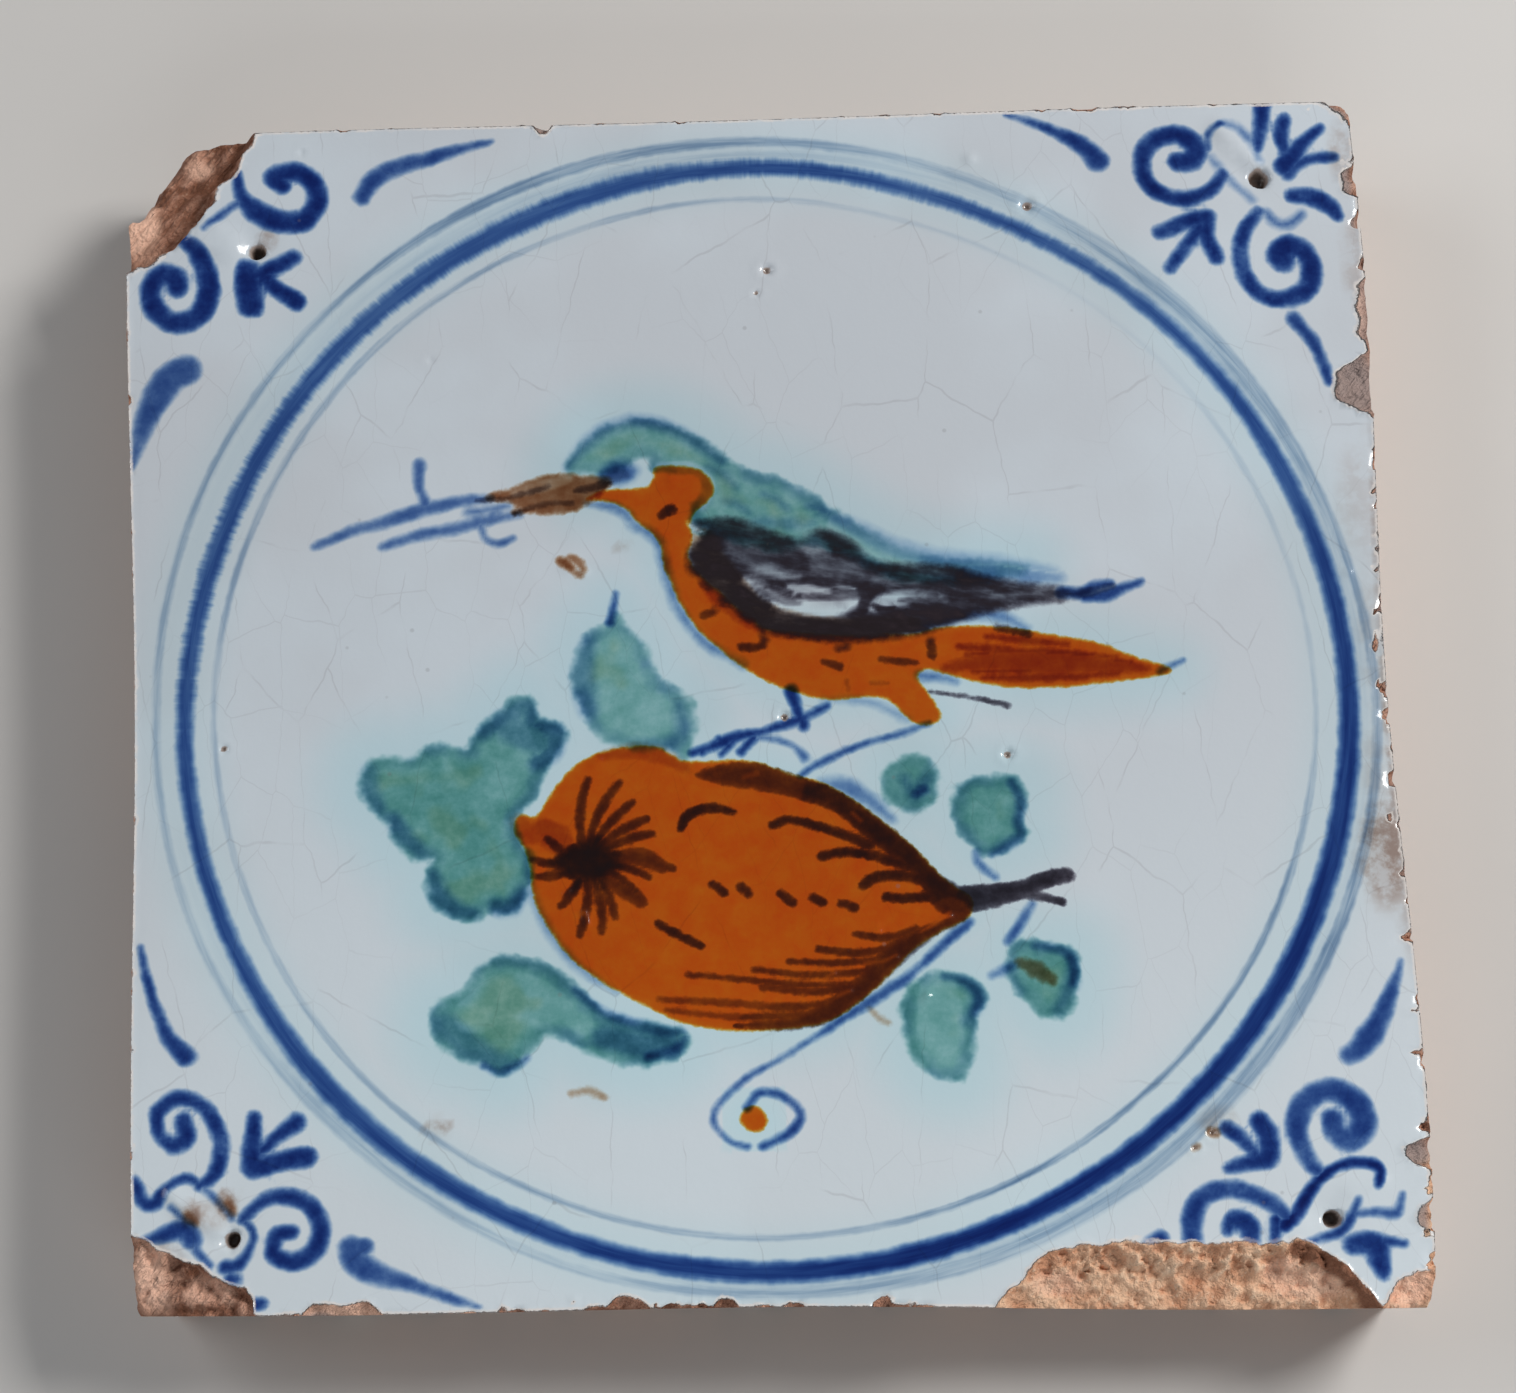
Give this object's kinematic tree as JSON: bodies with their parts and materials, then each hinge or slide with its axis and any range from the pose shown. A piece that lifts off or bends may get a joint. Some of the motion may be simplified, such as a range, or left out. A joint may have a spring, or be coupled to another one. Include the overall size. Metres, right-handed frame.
{
  "type": "glazed wall tile",
  "caption": "Square hand-made earthenware wall tile with a glazed, painted face, undercut edges, a broken corner and chipped rims.",
  "frame": {"origin": "under the middle of the tile, on the plane of its back", "axes": "+Z out of the glazed face, +Y to the top of the painted picture, +X to the picture's right"},
  "size_m": [0.1313, 0.1315, 0.014],
  "materials": {
    "glaze": "glossy bluish white tin glaze, painted, over tan earthenware that shows at its sides and breaks"
  },
  "bodies": {
    "root": {"glazed_tile": "glaze"}
  },
  "joints": []
}
